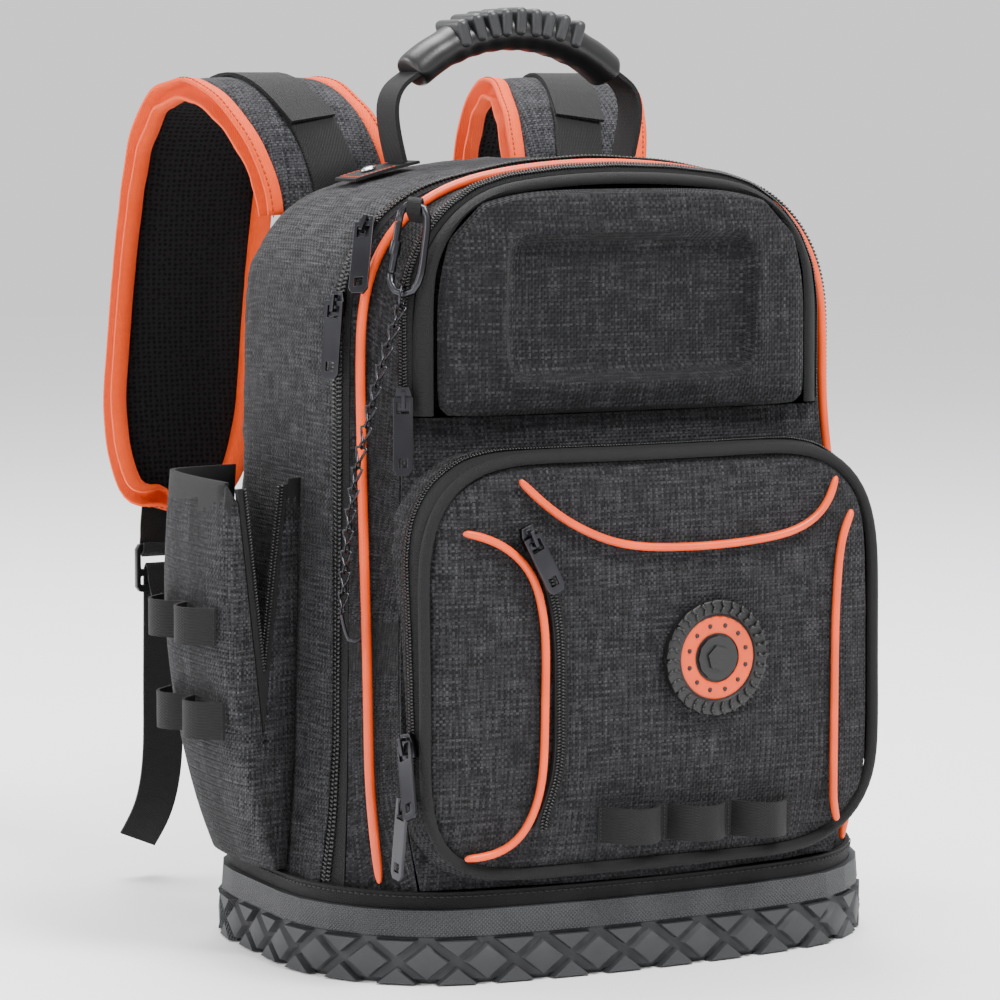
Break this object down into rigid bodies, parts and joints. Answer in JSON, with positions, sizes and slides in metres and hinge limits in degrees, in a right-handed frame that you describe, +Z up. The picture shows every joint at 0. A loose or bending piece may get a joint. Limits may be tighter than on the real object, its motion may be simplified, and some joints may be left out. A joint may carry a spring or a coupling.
{
  "type": "tool backpack",
  "caption": "Upright canvas tool backpack with a rubber base, moulded front cover, pockets, tool loops, handle and two shoulder straps.",
  "frame": {"origin": "middle of the rubber base's underside, on the floor", "axes": "+Z up, -Y towards the front cover and pocket, +Y towards the shoulder straps, -X towards the side pocket"},
  "size_m": [0.3996, 0.4144, 0.5136],
  "materials": {
    "canvas": "heather canvas",
    "side_fabric": "ribbed canvas",
    "webbing": "woven webbing",
    "zip_tape": "zip tape and coil",
    "orange_piping": "smooth piping",
    "base_rubber": "matt moulded",
    "cover_fabric": "moulded, dotted weave",
    "badge_rubber": "matt",
    "plastic": "satin",
    "dark_metal": "gunmetal",
    "bright_metal": "polished"
  },
  "bodies": {
    "bag": {"rubber_base": "base_rubber", "base_binding": "webbing", "rear_body": "side_fabric", "main_zipper": "zip_tape", "front_body": "canvas", "edge_piping": "orange_piping", "back_pad": "webbing", "shell_zipper": "zip_tape", "shell_binding": "webbing", "hard_shell": "cover_fabric", "front_panel": "canvas", "lower_pocket": "canvas", "pocket_zipper": "zip_tape", "pocket_binding": "webbing", "pocket_piping_top": "orange_piping", "pocket_piping_left": "orange_piping", "pocket_piping_right": "orange_piping", "slash_zipper": "zip_tape", "badge": "badge_rubber", "tool_loops": "webbing", "side_pocket": "side_fabric", "side_pocket_zipper": "zip_tape", "side_loops_upper": "webbing", "side_loops_lower": "webbing", "handle_webbing": "webbing", "handle_grip": "base_rubber", "handle_patch_left": "webbing", "handle_patch_right": "webbing", "rivet_left": "bright_metal", "rivet_right": "bright_metal", "strap_pad_left": "canvas", "strap_pad_right": "canvas", "strap_binding_left": "orange_piping", "strap_binding_right": "orange_piping", "strap_webbing_left": "webbing", "strap_webbing_right": "webbing", "lower_webbing_left": "webbing", "lower_webbing_right": "webbing", "ladder_lock_left": "plastic", "ladder_lock_right": "plastic", "sternum_webbing": "webbing", "sternum_buckle": "plastic", "slider_main_upper": "dark_metal", "slider_main_lower": "dark_metal", "slider_shell": "dark_metal", "slider_pocket_upper": "dark_metal", "slider_pocket_lower": "dark_metal", "slider_slash": "dark_metal", "snap_hook": "dark_metal", "hook_loop": "webbing", "tape_chain": "dark_metal"},
    "pull_main_upper": {"pull_main_upper": "dark_metal"},
    "pull_main_lower": {"pull_main_lower": "dark_metal"},
    "pull_shell": {"pull_shell": "dark_metal"},
    "pull_pocket_upper": {"pull_pocket_upper": "dark_metal"},
    "pull_pocket_lower": {"pull_pocket_lower": "dark_metal"},
    "pull_slash": {"pull_slash": "dark_metal"},
    "snap_gate": {"snap_gate": "bright_metal"}
  },
  "joints": [
    {"name": "pull_main_upper_hinge", "type": "hinge", "parent": "bag", "child": "pull_main_upper", "pos_m": [-0.13529, -0.06281, 0.39861], "axis": [-0.7393, 0.6707, -0.0599], "range_deg": [0, 150]},
    {"name": "pull_main_lower_hinge", "type": "hinge", "parent": "bag", "child": "pull_main_lower", "pos_m": [-0.15262, -0.06268, 0.35747], "axis": [-0.595, 0.8, 0.0777], "range_deg": [0, 150]},
    {"name": "pull_shell_hinge", "type": "hinge", "parent": "bag", "child": "pull_shell", "pos_m": [-0.12875, -0.09666, 0.308], "axis": [-0.8944, 0.4472, 0], "range_deg": [0, 150]},
    {"name": "pull_pocket_upper_hinge", "type": "hinge", "parent": "bag", "child": "pull_pocket_upper", "pos_m": [-0.1447, -0.13086, 0.131], "axis": [-0.2983, 0.8523, -0.4296], "range_deg": [0, 150]},
    {"name": "pull_pocket_lower_hinge", "type": "hinge", "parent": "bag", "child": "pull_pocket_lower", "pos_m": [-0.14496, -0.12903, 0.1], "axis": [-0.1183, 0.9855, 0.1218], "range_deg": [0, 150]},
    {"name": "pull_slash_hinge", "type": "hinge", "parent": "bag", "child": "pull_slash", "pos_m": [-0.08, -0.15013, 0.238], "axis": [-0.8944, 0, -0.4472], "range_deg": [0, 150]},
    {"name": "gate_hinge", "type": "hinge", "parent": "bag", "child": "snap_gate", "pos_m": [-0.13169, -0.08993, 0.37544], "axis": [0.6485, 0.7369, -0.191], "range_deg": [0, 22], "stiffness_Nm_per_rad": 0.01, "springref_deg": -11.46}
  ]
}
